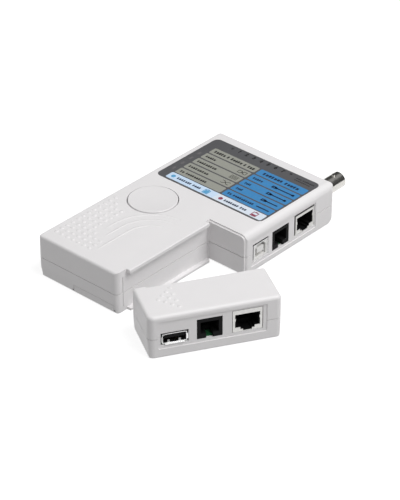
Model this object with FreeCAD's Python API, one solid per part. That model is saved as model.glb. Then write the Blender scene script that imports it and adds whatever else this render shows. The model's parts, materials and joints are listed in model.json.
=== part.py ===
"""Network cable tester: a master unit with a bay in one side, and the remote unit that docks in the bay.

Frame: millimetres. +Z is up from the table, +Y runs from the handle end to the coaxial socket, and +X
points to the side that holds the network sockets. The origin is on the master unit's underside, within a
millimetre of its centre. X0 and Y0 are the datum lines that places are measured from: they lie just inside
the case's left side and its handle end.
Every remote piece is modelled docked in the bay, then swung out about the dock pole to where it rests.
"""

import FreeCAD
import Part
import math
import os

V = FreeCAD.Vector

# ---- master case ----
CASE_LENGTH = 148.3
CASE_WIDTH = 85.1
CASE_HEIGHT = 25.6
PARTING_Z = 12.0
WALL = 2.2
SKIN = 2.0
TOP_EDGE = 1.6
PORT_EDGE = 4.0
SIDE_TAPER = 2.4
FOOT_STEP = 0.35
FOOT_HEIGHT = 4.45
REAR_FOOT_RADIUS = 7.0
CORNER = 2.2
FAR_CORNER = 4.5
POST_RADIUS = 2.6
SEAM = 0.4

X0 = -42.3
Y0 = -73.5
LEFT = X0 - 0.5
RIGHT = LEFT + CASE_WIDTH
FRONT = Y0 - 1.3
BACK = FRONT + CASE_LENGTH
CEILING = CASE_HEIGHT - WALL

# ---- dock bay ----
HANDLE_WIDTH = 58.5
BAY_LENGTH = 73.6
BAY_X = LEFT + HANDLE_WIDTH
BAY_Y = FRONT + BAY_LENGTH
RAIL_REACH = 2.6
RAIL_TOP = 2.3
RAIL_FOOT = 1.4
RAIL_START = Y0 + 6.2
RAIL_END = Y0 + 69.5
STEP_PLATE = 1.0
STEP_PLATE_INSET = 0.9

# ---- test button ----
BUTTON_X = X0 + 21.3
BUTTON_Y = Y0 + 66.3
BUTTON_RADIUS = 14.0
BUTTON_GAP = 0.55
BUTTON_PROUD = 0.5
BUTTON_TRAVEL = 0.8
BUTTON_FLANGE = 1.3

# ---- label film ----
FILM_X = (X0 + 3.3, X0 + 80.65)
FILM_Y = (Y0 + 87.7, Y0 + 140.15)
FILM_RADIUS = 3.4
FILM_THICK = 0.3

# ---- indicator lamps ----
LAMP_RADIUS = 1.5
LAMP_PITCH = 5.3
COLUMN_LAMPS = 9
COLUMN_LAMP_X = X0 + 18.5
COLUMN_LAMP_Y = Y0 + 133.4
ROW_LAMPS = 4
ROW_PITCH = 7.15
ROW_LAMP_X = X0 + 6.9
ROW_LAMP_Y = Y0 + 120.9
BATTERY_LAMPS = (X0 + 12.9, X0 + 48.3)
BATTERY_LAMP_Y = Y0 + 92.0

# ---- circuit boards ----
BOARD_THICK = 1.6
MAIN_BOARD_Z = 3.6
MAIN_BOARD_TOP = MAIN_BOARD_Z + BOARD_THICK
LAMP_BOARD_Z = 16.0
LAMP_BOARD_TOP = LAMP_BOARD_Z + BOARD_THICK

# ---- sockets: width, height and depth of each housing ----
MASTER_RJ45_SIZE = (15.8, 12.3, 15.5)
REMOTE_RJ45_SIZE = (16.2, 13.3, 15.5)
RJ11_SIZE = (13.6, 11.9, 15.5)
USB_B_SIZE = (12.0, 10.2, 15.5)
USB_A_SIZE = (13.2, 5.6, 14.0)
PANEL_SINK = 0.4
SHIELD_SINK = 0.15
USB_METAL = 0.35
FLARE_OUT = 0.5
FLARE_LEAN = 0.58
SPRING_RISE = 0.85
SPRING_SIDE = 3.0

# ---- room round each housing in its hole: towards -Y, towards +Y, below and above ----
MAIN_GAPS = {
    "usb_b": (1.0, 0.15, 0.15, 1.1),
    "rj11": (0.2, 0.2, 0.2, 0.2),
    "rj45": (1.4, 0.3, 0.15, 1.3),
}
REMOTE_GAPS = {
    "usb_a": (0.95, 0.95, 0.85, 0.95),
    "rj11": (0.2, 0.2, 0.2, 0.2),
    "rj45": (0.35, 0.35, 0.15, 0.35),
}

# ---- modular jacks: bore width, bore height and roof over the bore, then the steps under the bore ----
MASTER_RJ45_BORE = (12.4, 8.0, 1.3)
REMOTE_RJ45_BORE = (12.4, 8.0, 2.3)
RJ45_STEPS = ((7.8, 1.3), (4.9, 2.3))
RJ45_MOUTH = 13.7
RJ11_BORE = (10.0, 7.0, 2.0)
RJ11_STEPS = ((3.8, 3.0),)
LATCH_REACH = 7.0
CONTACT_PITCH = 1.02
SHIELD = 0.3
SHIELD_TAB = (0.35, 1.7)

# ---- coaxial socket ----
COAX_X = X0 + 71.3
COAX_Z = 12.9
COAX_BARREL_RADIUS = 4.83
COAX_BORE_RADIUS = 4.05
COAX_TIP = Y0 + 168.0
COAX_SHOULDER_RADIUS = 6.4
COAX_TAIL_RADIUS = 4.85
COAX_TAIL_END = BACK - WALL - 7.0
COAX_CONTACT_END = BACK - WALL - 10.0
COAX_CORE_RADIUS = 2.4
COAX_CONTACT_RADIUS = 0.92
LUG_RADIUS = 1.0
LUG_REACH = 5.6

# ---- battery bay ----
BATTERY = (26.2, 48.5, 17.3)
BATTERY_X = X0 + 27.15
BATTERY_Y = Y0 + 6.0
BATTERY_Z = 2.8
DOOR_X = (X0 + 25.5, X0 + 55.0)
DOOR_END = Y0 + 57.0
DOOR_THICK = 1.6
DOOR_GAP = 0.25
DOOR_LEDGE = 1.6
BATTERY_BAY_END = Y0 + 60.0
DOOR_LIP_HEIGHT = 4.15

# ---- fasteners ----
BOSS_RADIUS = 3.0
BOSSES = (
    (X0 + 7.0, Y0 + 7.0),
    (X0 + 50.3, Y0 + 67.0),
    (X0 + 6.6, BACK - 6.4),
    (X0 + 58.0, BACK - 6.7),
)
SCREW_RADIUS = 1.3
SCREW_HEAD_RADIUS = 2.6
SCREW_HEAD = 1.9
SCREW_WELL = 3.0

# ---- remote unit, docked: its back lies along the bay wall and its ports face +X ----
REMOTE_LENGTH = 72.5
REMOTE_DEPTH = 30.5
REMOTE_CLEARANCE = 0.3
REMOTE_BACK = BAY_X + REMOTE_CLEARANCE
REMOTE_FACE = REMOTE_BACK + REMOTE_DEPTH
REMOTE_Y0 = Y0 - 1.65
REMOTE_Y1 = REMOTE_Y0 + REMOTE_LENGTH
REMOTE_BLOCK = 7.0
REMOTE_WALL = 1.8
REMOTE_BOARD_Z = 5.8
REMOTE_BOARD_TOP = REMOTE_BOARD_Z + BOARD_THICK
REMOTE_BOSSES = ((REMOTE_BACK + 7.2, REMOTE_Y0 + 25.8), (REMOTE_BACK + 7.2, REMOTE_Y1 - 7.0))
DOCK_POLE = (17.4, -101.8)
DOCK_SWING = 31.0


# ---- general shapes ----
def box(x, y, z):
    """Box between three (low, high) pairs."""
    return Part.makeBox(x[1] - x[0], y[1] - y[0], z[1] - z[0], V(x[0], y[0], z[0]))


def rod(x, y, z0, z1, radius):
    """Upright cylinder."""
    return Part.makeCylinder(radius, z1 - z0, V(x, y, z0))


def rod_y(x, z, y0, y1, radius):
    """Cylinder along Y."""
    return Part.makeCylinder(radius, y1 - y0, V(x, y0, z), V(0, 1, 0))


def outline(corners):
    """Closed wire in the XY plane through (x, y, radius) corners, rounded by tangent arcs."""
    starts = []
    ends = []
    middles = []
    for i, (x, y, radius) in enumerate(corners):
        here = V(x, y, 0)
        if not radius:
            starts.append(here)
            ends.append(here)
            middles.append(None)
            continue
        before = V(*corners[i - 1][:2], 0) - here
        after = V(*corners[(i + 1) % len(corners)][:2], 0) - here
        before.normalize()
        after.normalize()
        half = before.getAngle(after) / 2
        inward = before + after
        inward.normalize()
        centre = here + inward * (radius / math.sin(half))
        starts.append(here + before * (radius / math.tan(half)))
        ends.append(here + after * (radius / math.tan(half)))
        middles.append(centre - inward * radius)
    edges = []
    for i, middle in enumerate(middles):
        if middle is not None:
            edges.append(Part.Arc(starts[i], middle, ends[i]).toShape())
        following = starts[(i + 1) % len(corners)]
        if ends[i].distanceToPoint(following) > 1e-6:
            edges.append(Part.makeLine(ends[i], following))
    return Part.Wire(edges)


def prism(corners, z):
    """Upright prism over an outline."""
    solid = Part.Face(outline(corners)).extrude(V(0, 0, z[1] - z[0]))
    solid.translate(V(0, 0, z[0]))
    return solid


def prism_y(corners, y):
    """Prism along Y over an outline of (x, z, radius) corners."""
    solid = prism(corners, (0, y[1] - y[0]))
    solid.rotate(V(0, 0, 0), V(1, 0, 0), 90)
    solid.translate(V(0, y[1], 0))
    return solid


def prism_x(corners, x):
    """Prism along X over an outline of (y, z, radius) corners."""
    solid = prism(corners, (0, x[1] - x[0]))
    solid.rotate(V(0, 0, 0), V(1, 1, 1), 120)
    solid.translate(V(x[0], 0, 0))
    return solid


def rectangle(x, y, radius):
    """Corners of a rounded rectangle."""
    return [(x[0], y[0], radius), (x[1], y[0], radius), (x[1], y[1], radius), (x[0], y[1], radius)]


def rounded_box(x, y, z, radius):
    """Box with rounded upright edges."""
    return prism(rectangle(x, y, radius), z)


def fuse(solids):
    """One solid from overlapping solids."""
    return solids[0].multiFuse(solids[1:]).removeSplitter()


def common(first, *others):
    """What every one of the solids holds."""
    for other in others:
        first = first.common(other)
    return first


def edges_at(solid, z, test):
    """Edges that lie flat at height z and whose middle passes the test."""
    found = []
    for edge in solid.Edges:
        flat = abs(edge.BoundBox.ZMin - z) < 1e-4 and abs(edge.BoundBox.ZMax - z) < 1e-4
        if flat and test(edge.CenterOfMass):
            found.append(edge)
    return found


def lead(points, radius):
    """Round lead along straight runs joined by tangent arcs."""
    nodes = [V(*point) for point in points]
    edges = []
    start = nodes[0]
    for before, here, after in zip(nodes, nodes[1:], nodes[2:]):
        back = before - here
        ahead = after - here
        reach = 0.45 * min(back.Length, ahead.Length)
        back.normalize()
        ahead.normalize()
        inward = back + ahead
        inward.normalize()
        half = back.getAngle(ahead) / 2
        bend = reach * math.tan(half)
        middle = here + inward * (bend / math.sin(half) - bend)
        edges.append(Part.LineSegment(start, here + back * reach).toShape())
        edges.append(Part.Arc(here + back * reach, middle, here + ahead * reach).toShape())
        start = here + ahead * reach
    edges.append(Part.LineSegment(start, nodes[-1]).toShape())
    path = Part.Wire(edges)
    section = Part.Wire(Part.makeCircle(radius, nodes[0], nodes[1] - nodes[0]))
    return path.makePipeShell([section], True, True)


# ---- master case ----
def case_plan(inset):
    """Plan of the master case, with the bay cut from its side, drawn in by inset."""
    return [
        (LEFT + inset, FRONT + inset, max(CORNER - inset, 0.3)),
        (BAY_X - inset, FRONT + inset, max(POST_RADIUS - inset, 0.3)),
        (BAY_X - inset, BAY_Y + inset, 0),
        (RIGHT - inset, BAY_Y + inset, max(1.4 - inset, 0.3)),
        (RIGHT - inset, BACK - inset, max(CORNER - inset, 0.3)),
        (LEFT + inset, BACK - inset, FAR_CORNER - inset),
    ]


def case_block():
    """Outer form of the closed master case, before it is hollowed."""
    plan = rectangle((LEFT, RIGHT), (FRONT, BACK), CORNER)
    block = prism(plan, (0, CASE_HEIGHT))
    block = block.makeFillet(TOP_EDGE, edges_at(block, CASE_HEIGHT, lambda middle: True))
    across = [
        (LEFT + SIDE_TAPER, 0, 0.8),
        (RIGHT, 0, 1.2),
        (RIGHT, CASE_HEIGHT, PORT_EDGE),
        (LEFT, CASE_HEIGHT, 0),
        (LEFT, PARTING_Z, 0),
    ]
    along = [
        (FRONT + FOOT_STEP, 0, 0.6),
        (BACK, 0, REAR_FOOT_RADIUS),
        (BACK, CASE_HEIGHT, 0),
        (FRONT, CASE_HEIGHT, 0),
        (FRONT, FOOT_HEIGHT + 0.2, 0),
        (FRONT + FOOT_STEP, FOOT_HEIGHT, 0),
    ]
    block = common(block, prism_y(across, (FRONT, BACK)), prism_x(along, (LEFT, RIGHT)))
    return block.common(prism(case_plan(0), (0, CASE_HEIGHT)))


def bay_rail(z):
    """Rail along the bay wall, which reaches over or under the docked remote."""
    return rounded_box((BAY_X - WALL, BAY_X + RAIL_REACH), (RAIL_START, RAIL_END), z, 0.5)


def upper_rail():
    """Top rail, with its outer edge eased."""
    rail = bay_rail((CASE_HEIGHT - RAIL_TOP, CASE_HEIGHT))
    return rail.makeFillet(0.7, edges_at(rail, CASE_HEIGHT, lambda middle: middle.x > BAY_X + 1))


def step_plate():
    """Proud plate on the bay's end wall, with a rounded rim."""
    corners = [
        (BAY_X - WALL, 0.5, 0),
        (RIGHT - STEP_PLATE_INSET, 0.5, 0.6),
        (RIGHT - STEP_PLATE_INSET, CASE_HEIGHT - STEP_PLATE_INSET, 2.6),
        (BAY_X - WALL, CASE_HEIGHT - STEP_PLATE_INSET, 0),
    ]
    front = BAY_Y - STEP_PLATE
    plate = prism_y(corners, (front, BAY_Y + WALL / 2))
    rim = [e for e in plate.Edges if e.BoundBox.YMax < front + 1e-4 and e.CenterOfMass.z > 1]
    rim = [e for e in rim if e.CenterOfMass.x > BAY_X]
    return plate.makeFillet(0.45, rim)


def bay_wall_grooves():
    """Two upright grooves that frame the bay wall's panel."""
    depth = (BAY_X - 0.35, BAY_X + 1)
    return [box(depth, (y, y + 0.5), (3.0, 21.6)) for y in (Y0 + 3.0, RAIL_END + 0.4)]


def case_cavity():
    """Inner hollow of the master case."""
    height = (SKIN, CEILING)
    section = [
        (LEFT + SIDE_TAPER + WALL, SKIN, 0.5),
        (RIGHT - WALL, SKIN, 0.5),
        (RIGHT - WALL, CEILING, 1.8),
        (LEFT + WALL, CEILING, 0.5),
        (LEFT + WALL, PARTING_Z, 0),
    ]
    return prism(case_plan(WALL), height).common(prism_y(section, (FRONT, BACK)))


def ring(plan, outer, inner, z):
    """Wall that follows a plan function between two insets."""
    return prism(plan(outer), z).cut(prism(plan(inner), z))


def main_sockets():
    """Centre y, foot z and size of each socket in the master's port side."""
    return {
        "usb_b": (Y0 + 85.0, MAIN_BOARD_TOP + 0.5, USB_B_SIZE),
        "rj11": (Y0 + 101.3, MAIN_BOARD_TOP + 0.3, RJ11_SIZE),
        "rj45": (Y0 + 122.3, MAIN_BOARD_TOP + 0.5, MASTER_RJ45_SIZE),
    }


def remote_sockets():
    """Centre y, foot z and size of each socket in the remote's face."""
    return {
        "usb_a": (REMOTE_Y0 + 14.3, REMOTE_BOARD_TOP + 0.9, USB_A_SIZE),
        "rj11": (REMOTE_Y0 + 33.2, REMOTE_BOARD_TOP + 0.1, RJ11_SIZE),
        "rj45": (REMOTE_Y0 + 53.8, REMOTE_BOARD_TOP + 0.1, REMOTE_RJ45_SIZE),
    }


def socket_holes(sockets, gaps, face):
    """Rectangular holes that clear each socket housing, cut in from the face."""
    holes = []
    for name, (y, z, (width, height, depth)) in sockets.items():
        before, after, below, above = gaps[name]
        across = (y - width / 2 - before, y + width / 2 + after)
        holes.append(box((face - depth - 1, face + 1), across, (z - below, z + height + above)))
    return holes


def lamp_places():
    """(x, y) of every indicator lamp."""
    places = [(COLUMN_LAMP_X + LAMP_PITCH * i, COLUMN_LAMP_Y) for i in range(COLUMN_LAMPS)]
    places += [(ROW_LAMP_X, ROW_LAMP_Y - ROW_PITCH * i) for i in range(ROW_LAMPS)]
    places += [(x, BATTERY_LAMP_Y) for x in BATTERY_LAMPS]
    return places


def screw_well(x, y, floor):
    """Recess for a screw head, open at the underside, with the shank's hole above it."""
    well = rod(x, y, -1, SCREW_WELL, SCREW_HEAD_RADIUS + 0.3)
    return well.fuse(rod(x, y, SCREW_WELL - 0.5, floor, SCREW_RADIUS + 0.3))


def case_top():
    """Top shell of the master unit, with its button ring, film recess, lamp holes and screw bosses."""
    block = fuse([case_block(), upper_rail(), step_plate()])
    shell = block.cut(case_cavity())
    for x, y in BOSSES:
        shell = shell.fuse(rod(x, y, PARTING_Z + 0.1, CEILING + 0.5, BOSS_RADIUS))
    collar = rod(BUTTON_X, BUTTON_Y, CEILING - 2.0, CEILING + 0.3, BUTTON_RADIUS + 3.2)
    shell = shell.fuse(collar)
    above = box((LEFT - 9, RIGHT + 9), (FRONT - 9, BACK + 9), (PARTING_Z, CASE_HEIGHT + 9))
    shell = shell.common(above)
    cuts = [rod(x, y, PARTING_Z, CEILING - 1.5, SCREW_RADIUS - 0.3) for x, y in BOSSES]
    cuts.append(rod(BUTTON_X, BUTTON_Y, CEILING - 3, CASE_HEIGHT + 1, BUTTON_RADIUS + BUTTON_GAP))
    cuts.append(rod(BUTTON_X, BUTTON_Y, CEILING - 3, CEILING, BUTTON_RADIUS + BUTTON_FLANGE + 0.5))
    cuts.append(rounded_box(FILM_X, FILM_Y, (CASE_HEIGHT - FILM_THICK, CASE_HEIGHT + 1), FILM_RADIUS))
    cuts += [rod(x, y, CEILING - 1, CASE_HEIGHT + 1, LAMP_RADIUS + 0.2) for x, y in lamp_places()]
    cuts += socket_holes(main_sockets(), MAIN_GAPS, RIGHT)
    cuts += bay_wall_grooves()
    cuts.append(port_panel())
    cuts.append(coax_hole())
    cuts.append(ring(case_plan, 1.1, WALL + 0.5, (PARTING_Z - 0.1, PARTING_Z + 1.1)))
    return shell.cut(cuts)


def port_panel():
    """Shallow sunk panel round the three sockets."""
    y = (BAY_Y + 4.0, Y0 + 131.2)
    return prism_x(rectangle(y, (3.6, 20.3), 0.8), (RIGHT - PANEL_SINK, RIGHT + 1))


def coax_hole():
    """Round hole for the coaxial socket in the end wall."""
    return rod_y(COAX_X, COAX_Z, BACK - WALL - 1, BACK + 1, COAX_TAIL_RADIUS + 0.15)


def door_opening():
    """Battery opening in the underside, which runs out through the foot of the handle's end wall."""
    x = (DOOR_X[0] - DOOR_GAP, DOOR_X[1] + DOOR_GAP)
    floor = box(x, (FRONT - 1, DOOR_END + DOOR_GAP), (-1, DOOR_THICK + 0.2))
    end = box(x, (FRONT - 1, FRONT + WALL + 0.5), (-1, DOOR_LIP_HEIGHT + DOOR_GAP))
    across = (x[0] + DOOR_LEDGE, x[1] - DOOR_LEDGE)
    hatch = box(across, (FRONT + WALL + 0.4, DOOR_END - 1.5), (-1, SKIN + 1))
    grooves = [box((edge - 1, edge + 1), (FRONT - 1, DOOR_END - 3), (0.7, 1.6)) for edge in x]
    return [floor, end, hatch] + grooves


def case_bottom():
    """Bottom shell of the master unit, with its battery bay, board posts, screw wells and seam lip."""
    block = fuse([case_block(), bay_rail((0, RAIL_FOOT)), step_plate()])
    shell = block.cut(case_cavity())
    below = box((LEFT - 9, RIGHT + 9), (FRONT - 9, BACK + 9), (-9, PARTING_Z))
    shell = shell.common(below)
    shell = shell.fuse(ring(case_plan, 1.3, WALL, (PARTING_Z - 1.5, PARTING_Z + 0.9)))
    solids = battery_bay_walls()
    for bx, by in BOSSES:
        solids.append(rod(bx, by, SKIN - 0.5, PARTING_Z, BOSS_RADIUS + 0.9))
    for px, py in board_posts():
        solids.append(rod(px, py, SKIN - 0.5, MAIN_BOARD_Z, 2.2))
    shell = shell.multiFuse(solids)
    cuts = [screw_well(bx, by, PARTING_Z + 1) for bx, by in BOSSES]
    cuts += [rod(px, py, SKIN + 0.2, MAIN_BOARD_Z + 1, 0.8) for px, py in board_posts()]
    cuts += door_opening()
    cuts += socket_holes(main_sockets(), MAIN_GAPS, RIGHT)
    cuts += bay_wall_grooves()
    cuts.append(port_panel())
    cuts.append(coax_hole())
    cuts.append(seam_groove(case_plan))
    return shell.cut(cuts)


def battery_bay_walls():
    """Side wall and end wall of the battery bay. The end wall has a slot that lets the leads out."""
    z = (SKIN - 0.1, PARTING_Z - 1)
    x = (BATTERY_X - 2.2, BAY_X - WALL + 0.1)
    side = box((x[0], x[0] + 1.2), (FRONT + WALL - 0.2, BATTERY_BAY_END + 1.2), z)
    end = box(x, (BATTERY_BAY_END, BATTERY_BAY_END + 1.2), z)
    slot_y = (BATTERY_BAY_END - 1, BATTERY_BAY_END + 2)
    slot = box((BATTERY_X + 6, BATTERY_X + 17), slot_y, (SKIN + 3, PARTING_Z))
    return [side, end.cut(slot)]


def seam_groove(plan):
    """Fine groove round the outside at the parting line."""
    z = (PARTING_Z - SEAM, PARTING_Z)
    return prism(plan(-2), z).cut(prism(plan(SEAM), z))


def board_posts():
    """(x, y) of the posts that carry the main board."""
    return ((X0 + 17, Y0 + 83), (X0 + 64, Y0 + 108), (X0 + 17, Y0 + 133))


# ---- battery ----
def battery_cover():
    """Sliding battery door: a plate with side tongues, an end lip and a finger pad."""
    plate = box(DOOR_X, (FRONT + 0.9, DOOR_END), (0.0, DOOR_THICK - 0.1))
    lip_section = [
        (FRONT + FOOT_STEP, 0, 0.5),
        (FRONT + WALL + 0.1, 0, 0),
        (FRONT + WALL + 0.1, DOOR_LIP_HEIGHT, 0),
        (FRONT + FOOT_STEP, DOOR_LIP_HEIGHT, 0),
    ]
    lip = prism_x(lip_section, DOOR_X)
    tongues = [box((edge - 0.95, edge + 0.95), (Y0 + 3, DOOR_END - 4), (1.0, 1.3)) for edge in DOOR_X]
    cover = fuse([plate, lip] + tongues)
    middle = (DOOR_X[0] + DOOR_X[1]) / 2
    starts = [Y0 + 9 + 1.6 * i for i in range(6)]
    return cover.cut([box((middle - 7, middle + 7), (y, y + 0.8), (-1, 0.5)) for y in starts])


def battery():
    """Rectangular nine volt cell pack."""
    width, length, height = BATTERY
    x = (BATTERY_X, BATTERY_X + width)
    z = (BATTERY_Z, BATTERY_Z + height)
    can = prism_y(rectangle(x, z, 1.6), (BATTERY_Y, BATTERY_Y + length - 2.0))
    return can.fuse(prism_y(rectangle((x[0] + 0.6, x[1] - 0.6), (z[0] + 0.6, z[1] - 0.6), 1.2),
                            (BATTERY_Y + length - 2.1, BATTERY_Y + length - 1.0)))


def terminal_places():
    """(x, z) of the battery's two terminals."""
    centre = BATTERY_X + BATTERY[0] / 2
    z = BATTERY_Z + BATTERY[2] / 2
    return ((centre - 6.35, z), (centre + 6.35, z))


def battery_terminals():
    """Stud and cup of the battery."""
    end = BATTERY_Y + BATTERY[1] - 1.0
    (x1, z1), (x2, z2) = terminal_places()
    stud = rod_y(x1, z1, end, end + 2.6, 2.85)
    cup = rod_y(x2, z2, end, end + 2.6, 4.2).cut(rod_y(x2, z2, end + 0.6, end + 3, 3.5))
    return Part.makeCompound([stud, cup])


def battery_snap():
    """Cap that clips on the battery's terminals, with a socket and a stud of its own."""
    end = BATTERY_Y + BATTERY[1] - 1.0
    (x1, z1), (x2, z2) = terminal_places()
    cap = prism_y(rectangle((x1 - 6.2, x2 + 6.2), (z1 - 6.0, z1 + 6.0), 2.5), (end + 2.8, end + 4.8))
    socket = rod_y(x1, z1, end + 0.3, end + 2.9, 4.0).cut(rod_y(x1, z1, end, end + 2.75, 2.95))
    stud = rod_y(x2, z2, end + 0.8, end + 2.9, 3.2)
    return fuse([cap, socket, stud])


def battery_leads():
    """Red and black leads from the snap to the main board."""
    start = BATTERY_Y + BATTERY[1] + 3.8
    leads = []
    for x, drift in ((X0 + 36.0, -1.5), (X0 + 40.0, 2.0)):
        route = [
            (x, start, 11.4),
            (x, start + 7, 11.4),
            (x + drift, start + 15, 12.6),
            (x + drift * 1.7, start + 23, 11.6),
            (x + drift * 1.7, start + 23, MAIN_BOARD_TOP),
        ]
        leads.append(lead(route, 0.65))
    return leads


# ---- boards and what they carry ----
def main_board():
    """Lower board, which carries the sockets in the port side."""
    x = (X0 + 12, RIGHT - WALL - 0.3)
    board = box(x, (BAY_Y + WALL + 0.3, Y0 + 137), (MAIN_BOARD_Z, MAIN_BOARD_TOP))
    holes = [rod(x, y, 0, 9, 1.1) for x, y in board_posts()]
    holes += [rod(x, y, 0, 9, BOSS_RADIUS + 1.4) for x, y in BOSSES]
    return board.cut(holes)


def lamp_board():
    """Upper board, which carries the lamps and reaches under the test button."""
    z = (LAMP_BOARD_Z, LAMP_BOARD_TOP)
    field = box((X0 + 3.5, X0 + 67.0), (Y0 + 86, Y0 + 136.8), z)
    arm = box((X0 + 10, X0 + 30), (Y0 + 58.5, Y0 + 86.5), z)
    holes = [rod(x, y, 0, CASE_HEIGHT, BOSS_RADIUS + 0.5) for x, y in BOSSES]
    return field.fuse(arm).removeSplitter().cut(holes)


def lamps():
    """Round lamps with flanged feet, standing on the lamp board."""
    tip = CASE_HEIGHT - FILM_THICK - 0.4
    solids = []
    for x, y in lamp_places():
        body = rod(x, y, LAMP_BOARD_TOP, tip - LAMP_RADIUS, LAMP_RADIUS)
        foot = rod(x, y, LAMP_BOARD_TOP, LAMP_BOARD_TOP + 1.0, LAMP_RADIUS + 0.4)
        ball = Part.makeSphere(LAMP_RADIUS, V(x, y, tip - LAMP_RADIUS))
        dome = ball.common(rod(x, y, tip - 1.6, tip, 2))
        solids.append(fuse([body, foot, dome]))
    return Part.makeCompound(solids)


def board_header():
    """Plastic strip that holds the pins between the two boards."""
    return box((X0 + 20, X0 + 22.5), (Y0 + 96, Y0 + 116.3), (MAIN_BOARD_TOP, LAMP_BOARD_Z - 2.5))


def header_pins():
    """Pins that link the two boards."""
    pins = []
    for i in range(8):
        y = Y0 + 97.3 + 2.54 * i
        x = X0 + 21.25
        pins.append(box((x - 0.32, x + 0.32), (y - 0.32, y + 0.32), (LAMP_BOARD_Z - 2.5, LAMP_BOARD_Z)))
    return Part.makeCompound(pins)


def logic_chips():
    """Counter and driver chips on the main board, with a pin-one notch in each."""
    chips = []
    for x, y, width, length in ((X0 + 30, Y0 + 92, 6.4, 19.3), (X0 + 30, Y0 + 115, 6.4, 19.3),
                                (X0 + 46, Y0 + 100, 10.3, 15.4)):
        body = box((x, x + width), (y, y + length), (MAIN_BOARD_TOP, MAIN_BOARD_TOP + 3.2))
        notch = rod(x + width / 2, y + length, MAIN_BOARD_TOP + 2.2, MAIN_BOARD_TOP + 4, 1.1)
        chips.append(body.cut(notch))
    return Part.makeCompound(chips)


def test_switch():
    """Tactile switch base under the button."""
    half = 3.0
    top = LAMP_BOARD_TOP + 3.2
    x = (BUTTON_X - half, BUTTON_X + half)
    body = box(x, (BUTTON_Y - half, BUTTON_Y + half), (LAMP_BOARD_TOP, top))
    return body.cut(rod(BUTTON_X, BUTTON_Y, top - 2.0, top + 1, 2.05))


def switch_plunger():
    """Plunger of the tactile switch, which the button rests on."""
    top = LAMP_BOARD_TOP + 3.2
    return rod(BUTTON_X, BUTTON_Y, top - 1.1, button_stem_foot(), 1.75)


def button_stem_foot():
    """Height of the button's stem above the table, at rest."""
    return LAMP_BOARD_TOP + 4.4


def test_button():
    """Round button cap, dished, with a rim, a retaining flange and a stem."""
    top = CASE_HEIGHT + BUTTON_PROUD
    foot = CEILING - BUTTON_TRAVEL - 0.7
    cap = rod(BUTTON_X, BUTTON_Y, foot, top, BUTTON_RADIUS)
    cap = cap.makeFillet(0.6, edges_at(cap, top, lambda middle: True))
    dish_radius = 170.0
    dish = Part.makeSphere(dish_radius, V(BUTTON_X, BUTTON_Y, top - 0.5 + dish_radius))
    flange = rod(BUTTON_X, BUTTON_Y, foot, foot + 1.0, BUTTON_RADIUS + BUTTON_FLANGE)
    hollow = rod(BUTTON_X, BUTTON_Y, foot - 1, top - 1.8, BUTTON_RADIUS - 1.4)
    stem = rod(BUTTON_X, BUTTON_Y, button_stem_foot(), top - 1.5, 2.6)
    return cap.cut(dish).fuse(flange).cut(hollow).fuse(stem).removeSplitter()


def film():
    """Printed label film over the lamp holes."""
    gap = 0.1
    x = (FILM_X[0] + gap, FILM_X[1] - gap)
    y = (FILM_Y[0] + gap, FILM_Y[1] - gap)
    return rounded_box(x, y, (CASE_HEIGHT - FILM_THICK, CASE_HEIGHT), FILM_RADIUS - gap)


# ---- sockets ----
def bore_heights(place, bore):
    """Floor and roof of a modular jack's bore."""
    roof = place[1] + place[2][1] - bore[2]
    return roof - bore[1], roof


def mouth_boxes(x, y, width, heights, steps):
    """Boxes that together make a modular jack's mouth: its bore, and the steps under it."""
    floor, roof = heights
    boxes = [box(x, (y - width / 2, y + width / 2), (floor, roof))]
    start = max(x[0], x[1] - 1 - LATCH_REACH)
    for step, depth in steps:
        boxes.append(box((start, x[1]), (y - step / 2, y + step / 2), (floor - depth, floor + 0.1)))
    return boxes


def modular_housing(face, place, bore, steps):
    """Housing of a modular jack that faces +X, with its mouth stepped down to a latch slot."""
    y, z, (width, height, depth) = place
    body = box((face - depth, face), (y - width / 2, y + width / 2), (z, z + height))
    reach = (face - depth + 1.5, face + 1)
    return body.cut(mouth_boxes(reach, y, bore[0], bore_heights(place, bore), steps))


def shielded_place(place):
    """Place of the housing inside a network jack's shield."""
    y, z, (width, height, depth) = place
    return y, z, (width - 2 * SHIELD, height - SHIELD, depth - 2 * SHIELD)


def network_shield(face, place, bore):
    """Tinned shield over a network jack, open below, with a spring tab at each side of its mouth."""
    y, z, (width, height, depth) = place
    outer = box((face - depth, face), (y - width / 2, y + width / 2), (z, z + height))
    across = (y - width / 2 + SHIELD, y + width / 2 - SHIELD)
    inner = box((face - depth + SHIELD, face - SHIELD), across, (z - 1, z + height - SHIELD))
    floor, roof = bore_heights(shielded_place(place), bore)
    mouth = fuse(mouth_boxes((face - 1, face + 1), y, RJ45_MOUTH, (floor, roof), RJ45_STEPS))
    reach, tall = SHIELD_TAB
    middle = (floor + roof) / 2
    for edge in (y - RJ45_MOUTH / 2, y + RJ45_MOUTH / 2):
        mouth = mouth.cut(box((face - 2, face + 2), (edge - reach, edge + reach), (middle, middle + tall)))
    return outer.cut([inner, mouth])


def modular_contacts(face, place, bore, count):
    """Sprung contact wires in the roof of a modular jack."""
    y, z, (width, height, depth) = place
    roof = bore_heights(place, bore)[1]
    x0 = face - depth + 1.5
    wires = []
    for i in range(count):
        wy = y + (i - (count - 1) / 2) * CONTACT_PITCH
        corners = [
            (x0, roof, 0),
            (x0, roof - 0.35, 0),
            (x0 + 4.0, roof - 1.9, 0),
            (face - 3.2, roof - 0.35, 0),
            (face - 3.0, roof, 0),
            (x0 + 4.0, roof - 1.5, 0),
        ]
        wires.append(prism_y(corners, (wy - 0.18, wy + 0.18)))
    return Part.makeCompound(wires)


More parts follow.
